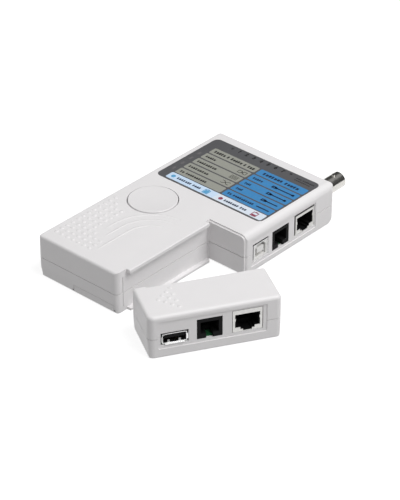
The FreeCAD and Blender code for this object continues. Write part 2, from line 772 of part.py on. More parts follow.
def usb_b_insert(face, place):
    """White moulding of the square USB socket, with its block for the contacts."""
    y, z, (width, height, depth) = place
    across = (y - width / 2 + USB_METAL, y + width / 2 - USB_METAL)
    up = (z + USB_METAL, z + height - USB_METAL)
    frame = box((face - depth + USB_METAL, face - 0.4), across, up)
    half = 8.4 / 2
    chamfer = 1.8
    foot = z + 1.3
    top = z + 9.2
    mouth = [
        (y - half, foot, 0),
        (y + half, foot, 0),
        (y + half, top - chamfer, 0),
        (y + half - chamfer, top, 0),
        (y - half + chamfer, top, 0),
        (y - half, top - chamfer, 0),
    ]
    frame = frame.cut(prism_x(mouth, (face - depth + 3.0, face + 1)))
    block = box((face - depth + 2.5, face - 0.6), (y - 2.85, y + 2.85), (z + 3.6, z + 6.8))
    return frame.fuse(block).removeSplitter()


def usb_shell(face, place):
    """Folded metal shell round a USB socket, closed at its back."""
    y, z, (width, height, depth) = place
    outer = box((face - depth, face), (y - width / 2, y + width / 2), (z, z + height))
    across = (y - width / 2 + USB_METAL, y + width / 2 - USB_METAL)
    inner = box((face - depth + USB_METAL, face + 1), across, (z + USB_METAL, z + height - USB_METAL))
    return outer.cut(inner)


def flare(x, edge, outward):
    """Section of a lip that leaves a wall's mouth at x and leans away from the wall's outer edge."""
    inner = edge - outward * USB_METAL
    lean = outward * FLARE_LEAN
    return [
        (x - 0.2, inner, 0),
        (x, inner, 0),
        (x + FLARE_OUT, inner + lean, 0),
        (x + FLARE_OUT, edge + lean, 0),
        (x, edge, 0),
        (x - 0.2, edge, 0),
    ]


def usb_a_shell(face, place):
    """Shell of the flat USB socket: a flared lip on each side of its mouth and two springs in its floor."""
    y, z, (width, height, depth) = place
    flat = (y - width / 2 + 1.3, y + width / 2 - 1.3)
    upright = (z + 1.1, z + height - 1.1)
    lips = [
        prism_y(flare(face, z, -1), flat),
        prism_y(flare(face, z + height, 1), flat),
        prism(flare(face, y - width / 2, -1), upright),
        prism(flare(face, y + width / 2, 1), upright),
    ]
    floor = z + USB_METAL
    rise = [(face - 4.0, floor - 0.1, 0), (face - 0.8, floor - 0.1, 0), (face - 1.2, floor + SPRING_RISE, 0)]
    springs = [prism_y(rise, (y + side - 0.6, y + side + 0.6)) for side in (-SPRING_SIDE, SPRING_SIDE)]
    return fuse([usb_shell(face, place)] + lips + springs)


def usb_b_contacts(face, place):
    """Contact strips on two faces of the square USB socket's block."""
    y, z, (width, height, depth) = place
    along = (face - depth + 3.5, face - 3.0)
    strips = []
    for centre in (y - 1.25, y + 1.25):
        for low in (z + 3.35, z + 6.8):
            strips.append(box(along, (centre - 0.5, centre + 0.5), (low, low + 0.25)))
    return Part.makeCompound(strips)


def usb_a_tongue(face, place):
    """Tongue and back block of the flat USB socket."""
    y, z, (width, height, depth) = place
    across = (y - width / 2 + USB_METAL, y + width / 2 - USB_METAL)
    up = (z + USB_METAL, z + height - USB_METAL)
    back = box((face - depth + USB_METAL, face - depth + 4.0), across, up)
    tongue = box((face - depth + 3.9, face - 0.3), (y - 5.6, y + 5.6), (z + height - 2.6, z + height - 0.8))
    return back.fuse(tongue).removeSplitter()


def usb_a_contacts(face, place):
    """Four contact strips under the tongue."""
    y, z, (width, height, depth) = place
    along = (face - depth + 4.0, face - 3.5)
    under = z + height - 2.6
    centres = [y + offset for offset in (-3.5, -1.0, 1.0, 3.5)]
    return Part.makeCompound([box(along, (c - 0.5, c + 0.5), (under - 0.22, under)) for c in centres])


# ---- coaxial socket ----
def coax_barrel():
    """Bayonet barrel with two lugs, a shoulder and a threaded tail through the end wall."""
    tail = rod_y(COAX_X, COAX_Z, COAX_TAIL_END, BACK + 0.5, COAX_TAIL_RADIUS)
    shoulder = rod_y(COAX_X, COAX_Z, BACK, BACK + 2.4, COAX_SHOULDER_RADIUS)
    barrel = rod_y(COAX_X, COAX_Z, BACK + 2.0, COAX_TIP, COAX_BARREL_RADIUS)
    lug_y = COAX_TIP - 5.0
    lugs = Part.makeCylinder(LUG_RADIUS, 2 * LUG_REACH, V(COAX_X, lug_y, COAX_Z - LUG_REACH))
    neck = rod_y(COAX_X, COAX_Z, BACK, BACK + 5, COAX_BARREL_RADIUS - 0.38)
    groove = rod_y(COAX_X, COAX_Z, BACK + 2.4, BACK + 3.8, COAX_SHOULDER_RADIUS).cut(neck)
    body = fuse([tail, shoulder, barrel, lugs]).cut(groove)
    bore = rod_y(COAX_X, COAX_Z, COAX_TIP - 13.0, COAX_TIP + 1, COAX_BORE_RADIUS)
    core = rod_y(COAX_X, COAX_Z, COAX_TAIL_END - 1, COAX_TIP, COAX_CORE_RADIUS)
    return body.cut([bore, core])


def coax_insulator():
    """White insulator down the barrel, with a bore for the centre contact."""
    sleeve = rod_y(COAX_X, COAX_Z, COAX_TAIL_END, COAX_TIP - 4.4, COAX_CORE_RADIUS - 0.02)
    return sleeve.cut(rod_y(COAX_X, COAX_Z, COAX_TAIL_END - 1, COAX_TIP, COAX_CONTACT_RADIUS + 0.03))


def coax_contact():
    """Hollow centre contact, with a solder tail."""
    tube = rod_y(COAX_X, COAX_Z, COAX_CONTACT_END, COAX_TIP - 4.8, COAX_CONTACT_RADIUS)
    return tube.cut(rod_y(COAX_X, COAX_Z, COAX_TIP - 10.5, COAX_TIP, 0.55))


def coax_washer():
    """Toothed earth washer inside the end wall."""
    y = (BACK - WALL - 0.8, BACK - WALL)
    disc = rod_y(COAX_X, COAX_Z, y[0], y[1], 6.9)
    tag = box((COAX_X - 1.5, COAX_X + 1.5), y, (COAX_Z - 9.0, COAX_Z - 5.0))
    hole = rod_y(COAX_X, COAX_Z, y[0] - 1, y[1] + 1, COAX_TAIL_RADIUS + 0.1)
    return disc.fuse(tag).removeSplitter().cut(hole)


def coax_nut():
    """Hexagonal nut that clamps the socket to the end wall."""
    y = (BACK - WALL - 3.2, BACK - WALL - 0.8)
    turns = [math.radians(60 * i) for i in range(6)]
    corners = [(COAX_X + 7.2 * math.cos(turn), COAX_Z + 7.2 * math.sin(turn), 0.4) for turn in turns]
    return prism_y(corners, y).cut(rod_y(COAX_X, COAX_Z, y[0] - 1, y[1] + 1, COAX_TAIL_RADIUS + 0.02))


def coax_lead():
    """Solid wire from the centre contact down to the main board."""
    bend = COAX_CONTACT_END - 3.2
    route = [
        (COAX_X, COAX_CONTACT_END, COAX_Z),
        (COAX_X, bend, COAX_Z),
        (COAX_X, bend, MAIN_BOARD_TOP),
    ]
    return lead(route, 0.4)


# ---- fasteners ----
def screw(x, y, head_z, length):
    """Pan-head screw pointing up, with a cross recess in its head."""
    head = rod(x, y, head_z, head_z + SCREW_HEAD, SCREW_HEAD_RADIUS)
    head = head.makeFillet(0.7, edges_at(head, head_z, lambda middle: True))
    shank = rod(x, y, head_z + SCREW_HEAD - 0.1, head_z + length, SCREW_RADIUS - 0.35)
    cross = [box((x - 1.5, x + 1.5), (y - 0.3, y + 0.3), (head_z - 1, head_z + 0.8)),
             box((x - 0.3, x + 0.3), (y - 1.5, y + 1.5), (head_z - 1, head_z + 0.8))]
    return head.fuse(shank).removeSplitter().cut(cross)


def case_screws():
    """The screws that close the master case."""
    return Part.makeCompound([screw(x, y, SCREW_WELL - SCREW_HEAD, 15.0) for x, y in BOSSES])


def board_screws():
    """Small screws that hold the main board to its posts."""
    screws = []
    for x, y in board_posts():
        head = rod(x, y, MAIN_BOARD_TOP, MAIN_BOARD_TOP + 1.2, 1.9)
        shank = rod(x, y, MAIN_BOARD_TOP - 2.6, MAIN_BOARD_TOP + 0.1, 0.78)
        screws.append(head.fuse(shank).removeSplitter())
    return Part.makeCompound(screws)


# ---- remote unit ----
def remote_plan(inset):
    """Plan of the remote, drawn in by inset."""
    return [
        (REMOTE_BACK + inset, REMOTE_Y0 + inset, 2.2 - inset * 0.5),
        (REMOTE_FACE - inset, REMOTE_Y0 + inset, 3.6 - inset),
        (REMOTE_FACE - inset, REMOTE_Y1 - inset, 2.8 - inset * 0.5),
        (REMOTE_BACK + inset, REMOTE_Y1 - inset, 2.2 - inset * 0.5),
    ]


def remote_rebates(grow):
    """Steps along the back edges that clear the bay rails, drawn outward by grow."""
    x = (REMOTE_BACK - 2, BAY_X + RAIL_REACH + REMOTE_CLEARANCE + grow)
    y = (REMOTE_Y0 + REMOTE_BLOCK - grow, REMOTE_Y1 + 2)
    top = box(x, y, (CASE_HEIGHT - RAIL_TOP - REMOTE_CLEARANCE - grow, CASE_HEIGHT + 2))
    foot = box(x, y, (-2, RAIL_FOOT + REMOTE_CLEARANCE + grow))
    return [top, foot]


def remote_block():
    """Outer form of the closed remote, before it is hollowed."""
    block = prism(remote_plan(0), (0, CASE_HEIGHT))
    block = block.makeFillet(2.0, edges_at(block, CASE_HEIGHT, lambda middle: True))
    block = block.makeFillet(1.0, edges_at(block, 0, lambda middle: True))
    along = [
        (REMOTE_Y0 + 0.9, 0, 0),
        (REMOTE_Y1 - 0.9, 0, 0),
        (REMOTE_Y1, PARTING_Z, 0),
        (REMOTE_Y1, CASE_HEIGHT, 0),
        (REMOTE_Y0, CASE_HEIGHT, 0),
        (REMOTE_Y0, PARTING_Z, 0),
    ]
    return block.common(prism_x(along, (REMOTE_BACK, REMOTE_FACE))).cut(remote_rebates(0))


def remote_cavity():
    """Inner hollow of the remote."""
    height = (REMOTE_WALL, CASE_HEIGHT - REMOTE_WALL)
    return prism(remote_plan(REMOTE_WALL), height).cut(remote_rebates(REMOTE_WALL))


def remote_panel():
    """Shallow sunk panel round the remote's sockets."""
    y = (REMOTE_Y0 + 5.4, REMOTE_Y0 + 64.4)
    return prism_x(rectangle(y, (5.4, 22.2), 0.8), (REMOTE_FACE - PANEL_SINK, REMOTE_FACE + 1))


def remote_surround(z):
    """Box larger than the remote, between two heights."""
    return box((REMOTE_BACK - 9, REMOTE_FACE + 9), (REMOTE_Y0 - 9, REMOTE_Y1 + 9), z)


def remote_top():
    """Top shell of the remote, with its screw bosses."""
    shell = remote_block().cut(remote_cavity())
    ceiling = CASE_HEIGHT - REMOTE_WALL
    for x, y in REMOTE_BOSSES:
        shell = shell.fuse(rod(x, y, PARTING_Z + 0.1, ceiling + 0.5, BOSS_RADIUS))
    shell = shell.common(remote_surround((PARTING_Z, CASE_HEIGHT + 9)))
    cuts = [rod(x, y, PARTING_Z, ceiling - 1.5, SCREW_RADIUS - 0.3) for x, y in REMOTE_BOSSES]
    cuts += socket_holes(remote_sockets(), REMOTE_GAPS, REMOTE_FACE)
    cuts.append(remote_panel())
    return shell.cut(cuts)


def remote_bottom():
    """Bottom shell of the remote, with its board ledges and screw wells."""
    shell = remote_block().cut(remote_cavity())
    shell = shell.common(remote_surround((-9, PARTING_Z)))
    solids = [rod(x, y, REMOTE_WALL - 0.5, PARTING_Z, BOSS_RADIUS + 0.9) for x, y in REMOTE_BOSSES]
    ledge_x = (REMOTE_FACE - 14, REMOTE_FACE - 4)
    for y in (REMOTE_Y0 + 3.2, REMOTE_Y1 - 7.0):
        solids.append(box(ledge_x, (y, y + 2.5), (REMOTE_WALL - 0.5, REMOTE_BOARD_Z)))
    shell = shell.multiFuse(solids)
    cuts = [screw_well(x, y, PARTING_Z + 1) for x, y in REMOTE_BOSSES]
    cuts += socket_holes(remote_sockets(), REMOTE_GAPS, REMOTE_FACE)
    cuts.append(remote_panel())
    cuts.append(seam_groove(remote_plan))
    return shell.cut(cuts)


def remote_board():
    """Board that carries the remote's sockets."""
    x = (REMOTE_BACK + 5.2, REMOTE_FACE - REMOTE_WALL - 0.3)
    y = (REMOTE_Y0 + REMOTE_WALL + 0.6, REMOTE_Y1 - REMOTE_WALL - 0.6)
    board = rounded_box(x, y, (REMOTE_BOARD_Z, REMOTE_BOARD_TOP), 2.5)
    return board.cut([rod(bx, by, 0, CASE_HEIGHT, BOSS_RADIUS + 1.3) for bx, by in REMOTE_BOSSES])


def remote_resistors():
    """Terminating resistors behind the sockets."""
    places = [REMOTE_Y0 + 34.8 + 3.6 * i for i in range(7)]
    x = REMOTE_BACK + 10.0
    bodies = []
    for y in places:
        body = Part.makeCylinder(1.1, 5.0, V(x - 2.5, y, REMOTE_BOARD_TOP + 1.1), V(1, 0, 0))
        bodies.append(body)
    return Part.makeCompound(bodies)


def remote_screws():
    """The screws that close the remote."""
    return Part.makeCompound([screw(x, y, SCREW_WELL - SCREW_HEAD, 15.0) for x, y in REMOTE_BOSSES])


def remote_pieces():
    """Every remote piece, docked."""
    face = REMOTE_FACE - PANEL_SINK
    places = remote_sockets()
    shielded = shielded_place(places["rj45"])
    shield_face = face - SHIELD_SINK
    inner_face = shield_face - SHIELD
    usb_face = REMOTE_FACE - FLARE_OUT
    return {
        "remote_top_shell": remote_top(),
        "remote_bottom_shell": remote_bottom(),
        "remote_board": remote_board(),
        "remote_resistors": remote_resistors(),
        "remote_case_screws": remote_screws(),
        "remote_usb_shell": usb_a_shell(usb_face, places["usb_a"]),
        "remote_usb_tongue": usb_a_tongue(usb_face, places["usb_a"]),
        "remote_usb_contacts": usb_a_contacts(usb_face, places["usb_a"]),
        "remote_phone_jack": modular_housing(face, places["rj11"], RJ11_BORE, RJ11_STEPS),
        "remote_phone_contacts": modular_contacts(face, places["rj11"], RJ11_BORE, 6),
        "remote_network_shield": network_shield(shield_face, places["rj45"], REMOTE_RJ45_BORE),
        "remote_network_jack": modular_housing(inner_face, shielded, REMOTE_RJ45_BORE, RJ45_STEPS),
        "remote_network_contacts": modular_contacts(inner_face, shielded, REMOTE_RJ45_BORE, 8),
    }


def master_pieces():
    """Every piece of the master unit."""
    face = RIGHT - PANEL_SINK
    places = main_sockets()
    shielded = shielded_place(places["rj45"])
    shield_face = face - SHIELD_SINK
    inner_face = shield_face - SHIELD
    red, black = battery_leads()
    return {
        "top_shell": case_top(),
        "bottom_shell": case_bottom(),
        "battery_cover": battery_cover(),
        "label_film": film(),
        "test_button": test_button(),
        "switch_plunger": switch_plunger(),
        "test_switch": test_switch(),
        "main_board": main_board(),
        "lamp_board": lamp_board(),
        "indicator_lamps": lamps(),
        "board_header": board_header(),
        "header_pins": header_pins(),
        "logic_chips": logic_chips(),
        "usb_shell": usb_shell(shield_face, places["usb_b"]),
        "usb_insert": usb_b_insert(shield_face, places["usb_b"]),
        "usb_contacts": usb_b_contacts(shield_face, places["usb_b"]),
        "phone_jack": modular_housing(face, places["rj11"], RJ11_BORE, RJ11_STEPS),
        "phone_contacts": modular_contacts(face, places["rj11"], RJ11_BORE, 6),
        "network_shield": network_shield(shield_face, places["rj45"], MASTER_RJ45_BORE),
        "network_jack": modular_housing(inner_face, shielded, MASTER_RJ45_BORE, RJ45_STEPS),
        "network_contacts": modular_contacts(inner_face, shielded, MASTER_RJ45_BORE, 8),
        "coax_barrel": coax_barrel(),
        "coax_insulator": coax_insulator(),
        "coax_contact": coax_contact(),
        "coax_washer": coax_washer(),
        "coax_nut": coax_nut(),
        "coax_lead": coax_lead(),
        "battery": battery(),
        "battery_terminals": battery_terminals(),
        "battery_snap": battery_snap(),
        "battery_lead_red": red,
        "battery_lead_black": black,
        "case_screws": case_screws(),
        "board_screws": board_screws(),
    }


def main():
    """Write one STEP per piece."""
    os.makedirs("parts", exist_ok=True)
    pieces = master_pieces()
    for name, solid in remote_pieces().items():
        solid.rotate(V(*DOCK_POLE, 0), V(0, 0, 1), -DOCK_SWING)
        pieces[name] = solid
    for name, solid in pieces.items():
        solid.exportStep(f"parts/{name}.step")
        print(f"{name:26s} solids {len(solid.Solids)} valid {solid.isValid()} volume {solid.Volume:10.1f}")


main()
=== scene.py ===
"""Looks of the network cable tester: materials, label print, raised grip pattern, studio and camera.

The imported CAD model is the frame. Lengths are in millimetres inside this script and turned to metres by MM.
"""

import json
import math

import bmesh
import bpy
from mathutils import Matrix, Vector


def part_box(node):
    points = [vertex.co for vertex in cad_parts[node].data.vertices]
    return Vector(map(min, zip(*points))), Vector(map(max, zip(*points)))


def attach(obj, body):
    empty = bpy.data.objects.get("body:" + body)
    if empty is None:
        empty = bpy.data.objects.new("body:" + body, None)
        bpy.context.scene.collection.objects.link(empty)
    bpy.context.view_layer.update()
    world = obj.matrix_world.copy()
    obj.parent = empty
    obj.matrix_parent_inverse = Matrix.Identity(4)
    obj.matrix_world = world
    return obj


MM = 0.001

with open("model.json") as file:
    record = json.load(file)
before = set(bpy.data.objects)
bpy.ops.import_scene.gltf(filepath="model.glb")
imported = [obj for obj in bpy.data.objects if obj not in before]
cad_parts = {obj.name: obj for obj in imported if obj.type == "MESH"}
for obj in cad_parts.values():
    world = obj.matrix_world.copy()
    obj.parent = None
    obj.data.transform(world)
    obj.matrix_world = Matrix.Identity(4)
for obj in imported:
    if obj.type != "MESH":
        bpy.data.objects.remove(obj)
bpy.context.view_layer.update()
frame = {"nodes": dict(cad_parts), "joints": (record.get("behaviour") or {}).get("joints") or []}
nodes = frame["nodes"]


def low(node):
    """Lowest corner of a CAD node, in millimetres."""
    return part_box(node)[0] / MM


def high(node):
    """Highest corner of a CAD node, in millimetres."""
    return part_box(node)[1] / MM


# ---- places taken from the frame ----
TOP_Z = high("label_film").z
CASE_LEFT = low("top_shell").x
CASE_FRONT = low("top_shell").y
FILM = low("label_film")
DOCK = next(joint for joint in frame["joints"] if joint["name"] == "remote_dock")
DOCK_POLE = Vector(DOCK["pos_m"]) / MM
DOCK_SWING = math.radians(DOCK["range_deg"][1])
REMOTE_END_Y = -75.15
REMOTE_MIDDLE_X = 31.0


# ---- material recipes ----
NOISE_RANGE = (0.3, 0.7)


def new_material(name):
    """Material with an empty node tree but for its shader and output."""
    material = bpy.data.materials.new(name)
    material.use_nodes = True
    tree = material.node_tree
    return material, tree, tree.nodes["Principled BSDF"]


def noise(tree, size, detail=3.0, stretch=(1, 1, 1)):
    """Noise whose features are about size millimetres, laid out in the object's own space."""
    place = tree.nodes.new("ShaderNodeTexCoord")
    mapping = tree.nodes.new("ShaderNodeMapping")
    mapping.inputs["Scale"].default_value = stretch
    texture = tree.nodes.new("ShaderNodeTexNoise")
    texture.inputs["Scale"].default_value = 1 / (size * MM)
    texture.inputs["Detail"].default_value = detail
    tree.links.new(place.outputs["Object"], mapping.inputs["Vector"])
    tree.links.new(mapping.outputs["Vector"], texture.inputs["Vector"])
    return texture.outputs["Fac"]


def vary(tree, source, socket, low_value, high_value):
    """Drives a number socket from noise, between two values."""
    spread = tree.nodes.new("ShaderNodeMapRange")
    spread.inputs["From Min"].default_value = NOISE_RANGE[0]
    spread.inputs["From Max"].default_value = NOISE_RANGE[1]
    spread.inputs["To Min"].default_value = low_value
    spread.inputs["To Max"].default_value = high_value
    tree.links.new(source, spread.inputs["Value"])
    tree.links.new(spread.outputs["Result"], socket)


def tint(tree, source, socket, first, second):
    """Drives a colour socket from noise, between two colours."""
    ramp = tree.nodes.new("ShaderNodeValToRGB")
    ramp.color_ramp.elements[0].position = NOISE_RANGE[0]
    ramp.color_ramp.elements[0].color = (*first, 1)
    ramp.color_ramp.elements[1].position = NOISE_RANGE[1]
    ramp.color_ramp.elements[1].color = (*second, 1)
    tree.links.new(source, ramp.inputs["Fac"])
    tree.links.new(ramp.outputs["Color"], socket)


def relief(tree, shader, source, depth, strength=1.0):
    """Bump from noise, depth in millimetres."""
    bump = tree.nodes.new("ShaderNodeBump")
    bump.inputs["Distance"].default_value = depth * MM
    bump.inputs["Strength"].default_value = strength
    tree.links.new(source, bump.inputs["Height"])
    tree.links.new(bump.outputs["Normal"], shader.inputs["Normal"])


def moulded(name, colour, roughness, grain=0.35, depth=0.012, spread=0.02, shine=0.5):
    """Moulded plastic: slight colour drift, and a fine eroded grain."""
    material, tree, shader = new_material(name)
    shader.inputs["Specular IOR Level"].default_value = shine
    darker = [channel * (1 - spread) for channel in colour]
    tint(tree, noise(tree, 18.0, 2.0), shader.inputs["Base Color"], darker, colour)
    vary(tree, noise(tree, 4.0), shader.inputs["Roughness"], roughness - 0.04, roughness + 0.04)
    relief(tree, shader, noise(tree, grain, 4.0), depth)
    return material


def metal(name, colour, roughness, stretch=(1, 1, 1), depth=0.004, dull=0.08):
    """Plated or drawn metal: dull patches and fine drawing marks."""
    material, tree, shader = new_material(name)
    shader.inputs["Metallic"].default_value = 1.0
    duller = [channel * 0.86 for channel in colour]
    tint(tree, noise(tree, 1.6, 4.0), shader.inputs["Base Color"], duller, colour)
    vary(tree, noise(tree, 0.9, 4.0), shader.inputs["Roughness"], roughness, roughness + dull)
    relief(tree, shader, noise(tree, 0.12, 2.0, stretch), depth)
    return material


def printed(name, colour, roughness=0.42):
    """Screen-printed ink: even colour with a faint woven-mesh unevenness."""
    material, tree, shader = new_material(name)
    lighter = [channel + 0.02 * (1 - channel) for channel in colour]
    tint(tree, noise(tree, 1.2, 4.0), shader.inputs["Base Color"], colour, lighter)
    vary(tree, noise(tree, 0.6), shader.inputs["Roughness"], roughness - 0.05, roughness + 0.05)
    return material


def laminate(name, colour, roughness):
    """Circuit board: solder mask with buried tracks that show as slightly lighter bands."""
    material, tree, shader = new_material(name)
    lighter = [min(1.0, channel * 1.6 + 0.01) for channel in colour]
    place = tree.nodes.new("ShaderNodeTexCoord")
    tracks = tree.nodes.new("ShaderNodeTexBrick")
    tracks.inputs["Scale"].default_value = 120.0
    tracks.inputs["Mortar Size"].default_value = 0.08
    tracks.inputs["Color1"].default_value = (*colour, 1)
    tracks.inputs["Color2"].default_value = (*[channel * 0.9 for channel in colour], 1)
    tracks.inputs["Mortar"].default_value = (*lighter, 1)
    tree.links.new(place.outputs["Object"], tracks.inputs["Vector"])
    tree.links.new(tracks.outputs["Color"], shader.inputs["Base Color"])
    vary(tree, noise(tree, 2.0), shader.inputs["Roughness"], roughness, roughness + 0.1)
    return material


def clear_lamp(name, colour):
    """Tinted clear plastic of a lamp."""
    material, tree, shader = new_material(name)
    deeper = [channel * 0.7 for channel in colour]
    tint(tree, noise(tree, 1.0), shader.inputs["Base Color"], deeper, colour)
    shader.inputs["Transmission Weight"].default_value = 0.4
    shader.inputs["IOR"].default_value = 1.5
    vary(tree, noise(tree, 0.8), shader.inputs["Roughness"], 0.12, 0.2)
    return material


def wrapped_can(name, jacket, band, split_y):
    """Battery jacket: two colours that meet at a line across it, over a faint drawn grain."""
    material, tree, shader = new_material(name)
    shader.inputs["Metallic"].default_value = 0.5
    place = tree.nodes.new("ShaderNodeTexCoord")
    apart = tree.nodes.new("ShaderNodeSeparateXYZ")
    ramp = tree.nodes.new("ShaderNodeMapRange")
    ramp.inputs["From Min"].default_value = (split_y - 0.2) * MM
    ramp.inputs["From Max"].default_value = (split_y + 0.2) * MM
    mix = tree.nodes.new("ShaderNodeValToRGB")
    mix.color_ramp.elements[0].color = (*jacket, 1)
    mix.color_ramp.elements[1].color = (*band, 1)
    tree.links.new(place.outputs["Object"], apart.inputs["Vector"])
    tree.links.new(apart.outputs["Y"], ramp.inputs["Value"])
    tree.links.new(ramp.outputs["Result"], mix.inputs["Fac"])
    tree.links.new(mix.outputs["Color"], shader.inputs["Base Color"])
    vary(tree, noise(tree, 3.0), shader.inputs["Roughness"], 0.3, 0.42)
    relief(tree, shader, noise(tree, 0.2, 2.0, (1, 0.1, 1)), 0.004)
    return material


CASE = moulded("case_plastic_look", (0.815, 0.80, 0.805), 0.46)
BUTTON = moulded("button_plastic_look", (0.81, 0.795, 0.80), 0.38, 0.3, 0.008)
BLACK = moulded("black_plastic_look", (0.006, 0.006, 0.0065), 0.6, 0.25, 0.008, 0.02, 0.1)
PHONE = moulded("phone_jack_look", (0.006, 0.006, 0.0065), 0.6, 0.25, 0.008, 0.02, 0.1)
SHIELD = metal("jack_shield_look", (0.62, 0.615, 0.60), 0.42, (1, 1, 0.3), 0.003)
INSERT = moulded("usb_insert_look", (0.84, 0.835, 0.82), 0.36, 0.2, 0.004)
NICKEL = metal("nickel_look", (0.66, 0.645, 0.615), 0.13, (1, 0.12, 1))
USB_METAL = metal("usb_metal_look", (0.80, 0.80, 0.80), 0.22, (0.2, 1, 1))
GOLD = metal("gold_contact_look", (0.93, 0.70, 0.34), 0.2)
STEEL = metal("screw_steel_look", (0.56, 0.56, 0.57), 0.3)
TINNED = metal("tinned_wire_look", (0.70, 0.70, 0.71), 0.28)
BOARD = laminate("board_look", (0.012, 0.10, 0.035), 0.35)
CHIP = moulded("chip_look", (0.018, 0.018, 0.02), 0.55, 0.15, 0.01)
LAMP = clear_lamp("lamp_look", (0.70, 0.03, 0.02))
INSULATOR = moulded("insulator_look", (0.84, 0.83, 0.80), 0.45, 0.3, 0.005)
RED = moulded("red_insulation_look", (0.42, 0.01, 0.012), 0.4, 0.4, 0.01, 0.1)
RESISTOR = moulded("resistor_look", (0.50, 0.36, 0.20), 0.4, 0.4, 0.01, 0.15)
CELL = wrapped_can("battery_look", (0.02, 0.022, 0.026), (0.50, 0.30, 0.11), low("battery").y + 13)
FILM_LOOK = moulded("label_film_look", (0.108, 0.108, 0.114), 0.34, 0.5, 0.004, 0.06)

LOOKS = {
    CASE: ("top_shell", "bottom_shell", "battery_cover", "remote_top_shell", "remote_bottom_shell"),
    BUTTON: ("test_button",),
    BLACK: (
        "switch_plunger",
        "test_switch",
        "board_header",
        "battery_snap",
        "battery_lead_black",
        "network_jack",
        "remote_network_jack",
        "remote_usb_tongue",
    ),
    PHONE: ("phone_jack", "remote_phone_jack"),
    SHIELD: ("network_shield", "remote_network_shield"),
    INSERT: ("usb_insert",),
    NICKEL: ("coax_barrel", "coax_washer", "coax_nut"),
    USB_METAL: ("usb_shell", "remote_usb_shell"),
    GOLD: (
        "header_pins",
        "usb_contacts",
        "phone_contacts",
        "network_contacts",
        "coax_contact",
        "remote_usb_contacts",
        "remote_phone_contacts",
        "remote_network_contacts",
    ),
    STEEL: ("case_screws", "board_screws", "remote_case_screws"),
    TINNED: ("coax_lead", "battery_terminals"),
    BOARD: ("main_board", "lamp_board", "remote_board"),
    CHIP: ("logic_chips",),
    LAMP: ("indicator_lamps",),
    INSULATOR: ("coax_insulator",),
    RED: ("battery_lead_red",),
    RESISTOR: ("remote_resistors",),
    CELL: ("battery",),
    FILM_LOOK: ("label_film",),
}
for look, names in LOOKS.items():
    for name in names:
        nodes[name].data.materials.clear()
        nodes[name].data.materials.append(look)


# ---- raised grip pattern ----
DOT_RADIUS = 1.35
DOT_HEIGHT = 0.48
DOT_SINK = 0.02
GRIP_PITCH = (4.13, 4.21)
GRIP_CORNER = (5.1, 9.1)
GRIP_COUNTS = (7, 7, 7, 5, 4, 4, 4, 4, 4, 4, 2, 1)
REMOTE_DOT_STEP = 2.95
REMOTE_DOT_ROWS = 4
REMOTE_DOT_APEX = 9.95


def finish_piece(name, mesh, body, material):
    """Object from a bmesh, riding on a body."""
    data = bpy.data.meshes.new(name)
    mesh.to_mesh(data)
    mesh.free()
    data.transform(Matrix.Scale(MM, 4))
    data.materials.append(material)
    piece = bpy.data.objects.new(name, data)
    bpy.context.scene.collection.objects.link(piece)
    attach(piece, body)
    return piece


def add_dome(mesh, x, y, z, radius, height, rings=5, sides=20):
    """Low dome on the plane z."""
    rims = []
    for ring in range(rings):
        share = ring / rings
        reach = radius * math.cos(math.pi / 2 * share)
        level = z + height * (1 - (reach / radius) ** 2)
        turns = [2 * math.pi * side / sides for side in range(sides)]
        spots = [(x + reach * math.cos(t), y + reach * math.sin(t), level) for t in turns]
        rims.append([mesh.verts.new(spot) for spot in spots])
    peak = mesh.verts.new((x, y, z + height))
    for lower, upper in zip(rims, rims[1:]):
        for side in range(sides):
            after = (side + 1) % sides
            mesh.faces.new((lower[side], lower[after], upper[after], upper[side]))
    for side in range(sides):
        mesh.faces.new((rims[-1][side], rims[-1][(side + 1) % sides], peak))
    mesh.faces.new(list(reversed(rims[0])))


def dots(name, places, body):
    """Field of raised dots."""
    mesh = bmesh.new()
    for x, y in places:
        add_dome(mesh, x, y, TOP_Z - DOT_SINK, DOT_RADIUS, DOT_HEIGHT)
    for face in mesh.faces:
        is_foot = len(face.verts) > 4
        face.smooth = not is_foot
    return finish_piece(name, mesh, body, CASE)


def handle_dot_places():
    """Square grid on the handle, narrower towards the button."""
    places = []
    for row, count in enumerate(GRIP_COUNTS):
        y = CASE_FRONT + GRIP_CORNER[1] + GRIP_PITCH[1] * row
        places += [(CASE_LEFT + GRIP_CORNER[0] + GRIP_PITCH[0] * i, y) for i in range(count)]
    return places


def undocked(x, y):
    """A docked place on the remote, carried to where the remote rests."""
    arm = Vector((x, y, 0)) - DOCK_POLE
    arm.z = 0
    return (DOCK_POLE + Matrix.Rotation(-DOCK_SWING, 3, "Z") @ arm).to_2d()


def remote_dot_places():
    """Triangle of dots that points to the remote's end."""
    places = []
    for row in range(REMOTE_DOT_ROWS):
        y = REMOTE_END_Y + REMOTE_DOT_APEX + REMOTE_DOT_STEP * row
        for i in range(row + 1):
            places.append(undocked(REMOTE_MIDDLE_X + REMOTE_DOT_STEP * (2 * i - row), y))
    return places


dots("grip_dots", handle_dot_places(), "tester")
dots("remote_grip_dots", remote_dot_places(), "remote")


# ---- ridges that sweep round the thumb's place ----
RIDGE_CENTRE = (49.9, 35.3)
RIDGES = ((16.0, 9.3), (21.8, 21.3), (27.0, 28.3))
RIDGE_WIDTH = 1.7
RIDGE_HEIGHT = 0.24
RIDGE_SWEEP = math.radians(86)
RIDGE_SINK = 0.01
RIDGE_FADE = (0.12, 0.2)
RUN_STEPS = 12
ARC_STEPS = 28
PROFILE_POINTS = 9


